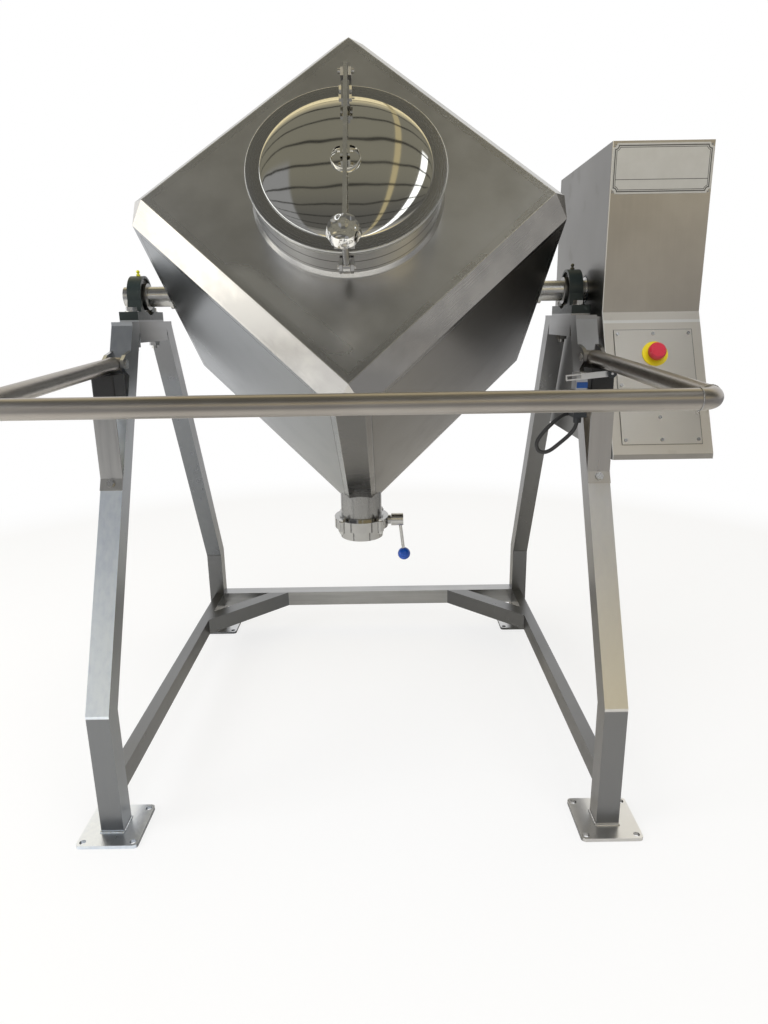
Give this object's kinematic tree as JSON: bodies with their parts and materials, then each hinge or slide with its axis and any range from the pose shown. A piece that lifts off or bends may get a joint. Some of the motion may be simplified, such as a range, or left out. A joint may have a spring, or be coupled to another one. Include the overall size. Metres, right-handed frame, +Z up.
{
  "type": "cubic powder mixer",
  "caption": "Square steel drum on a diagonal shaft in a tube stand, with a manhole lid, a butterfly valve, a hinged guard rail and a drive cabinet.",
  "frame": {"origin": "on the floor, midway between the four feet and straight under the drum's shaft", "axes": "+Z up, +X along the shaft towards the drive cabinet, -Y towards the guard rail and the manhole"},
  "size_m": [1.4345, 1.4804, 1.7224],
  "materials": {
    "drum_steel": "brushed",
    "polished_steel": "polished",
    "stand_steel": "satin",
    "cabinet_steel": "satin",
    "machined_steel": "machined",
    "cast_housing": "satin",
    "drive_paint": "satin",
    "brass_fitting": "satin",
    "black_rubber": "matte",
    "seal_rubber": "matte",
    "switch_plastic": "matte",
    "cable_sheath": "matte",
    "red_plastic": "gloss",
    "yellow_plastic": "satin",
    "blue_plastic": "gloss"
  },
  "bodies": {
    "stand": {"left_front_leg": "stand_steel", "left_rear_leg": "stand_steel", "right_front_leg": "stand_steel", "right_rear_leg": "stand_steel", "crosspieces": "stand_steel", "side_rails": "stand_steel", "rear_rail": "stand_steel", "corner_braces": "stand_steel", "foot_plates": "stand_steel", "bearing_seats": "stand_steel", "left_pillow_block": "cast_housing", "right_pillow_block": "cast_housing", "bearing_outer_rings": "machined_steel", "pillow_block_bolts": "machined_steel", "grease_nipples": "brass_fitting", "guard_lugs": "stand_steel", "guard_pins": "machined_steel", "buffer_brackets": "stand_steel", "rubber_buffers": "black_rubber", "bracket_bolts": "machined_steel", "switch_plate": "stand_steel", "limit_switch": "switch_plastic", "cable_glands": "switch_plastic", "switch_cable": "cable_sheath", "cabinet_wrap": "cabinet_steel", "cabinet_inner_wall": "cabinet_steel", "cabinet_outer_wall": "cabinet_steel", "cabinet_mounts": "stand_steel", "panel_cover": "cabinet_steel", "cover_screws": "machined_steel", "emergency_stop_disc": "yellow_plastic", "gearmotor": "drive_paint"},
    "drum": {"lid_panel": "drum_steel", "drum_panels": "drum_steel", "edge_strips": "drum_steel", "corner_plates": "drum_steel", "shaft_stubs": "machined_steel", "bearing_inner_rings": "machined_steel", "manhole_neck": "drum_steel", "hinge_ears": "drum_steel", "lid_hinge_pin": "machined_steel", "clamp_lugs": "drum_steel", "outlet_tube": "drum_steel", "valve_body": "machined_steel", "valve_bolts": "machined_steel", "valve_seat": "seal_rubber", "output_sleeve": "machined_steel"},
    "lid": {"manhole_lid": "polished_steel", "lid_gasket": "seal_rubber", "lid_arm": "machined_steel", "arm_cheeks": "machined_steel"},
    "clamp": {"swing_bolt": "machined_steel"},
    "knob": {"clamp_knob": "polished_steel"},
    "valve_spindle": {"valve_disc": "machined_steel", "valve_lever": "machined_steel", "lever_ball": "blue_plastic"},
    "guard": {"guard_rail": "stand_steel"},
    "switch_lever": {"switch_lever": "machined_steel"},
    "switch_roller": {"switch_roller": "switch_plastic"},
    "stop_button": {"emergency_stop_button": "red_plastic"}
  },
  "joints": [
    {"name": "drum_turn", "type": "hinge", "parent": "stand", "child": "drum", "pos_m": [0, 0, 1.1652], "axis": [1, 0, 0], "continuous": true},
    {"name": "lid_hinge", "type": "hinge", "parent": "drum", "child": "lid", "pos_m": [0, -0.26435, 1.59276], "axis": [-1, 0, 0], "range_deg": [0, 100]},
    {"name": "clamp_swing", "type": "hinge", "parent": "drum", "child": "clamp", "pos_m": [0, -0.46212, 1.19981], "axis": [1, 0, 0], "range_deg": [0, 90]},
    {"name": "knob_turn", "type": "hinge", "parent": "clamp", "child": "knob", "pos_m": [0, -0.53246, 1.24387], "axis": [0, -0.8475, 0.5309], "continuous": true},
    {"name": "valve_turn", "type": "hinge", "parent": "drum", "child": "valve_spindle", "pos_m": [0, 0.03428, 0.55202], "axis": [-1, 0, 0], "range_deg": [0, 90]},
    {"name": "guard_hinge", "type": "hinge", "parent": "stand", "child": "guard", "pos_m": [0, -0.233, 1.011], "axis": [-1, 0, 0], "range_deg": [0, 70]},
    {"name": "switch_swing", "type": "hinge", "parent": "stand", "child": "switch_lever", "pos_m": [0.503, -0.338, 0.976], "axis": [0, -1, 0], "range_deg": [0, 17.5]},
    {"name": "roller_turn", "type": "hinge", "parent": "switch_lever", "child": "switch_roller", "pos_m": [0.561, -0.3495, 0.98123], "axis": [0, 1, 0], "continuous": true},
    {"name": "stop_press", "type": "slide", "parent": "stand", "child": "stop_button", "axis": [0, 0.9011, -0.4336], "range_m": [0, 0.004], "stiffness_N_per_m": 600, "springref_m": -0.001}
  ],
  "couplings": [
    {"joint": "clamp_swing", "follows": "lid_hinge", "ratio": 0.9},
    {"joint": "switch_swing", "follows": "guard_hinge", "ratio": 0.25}
  ]
}
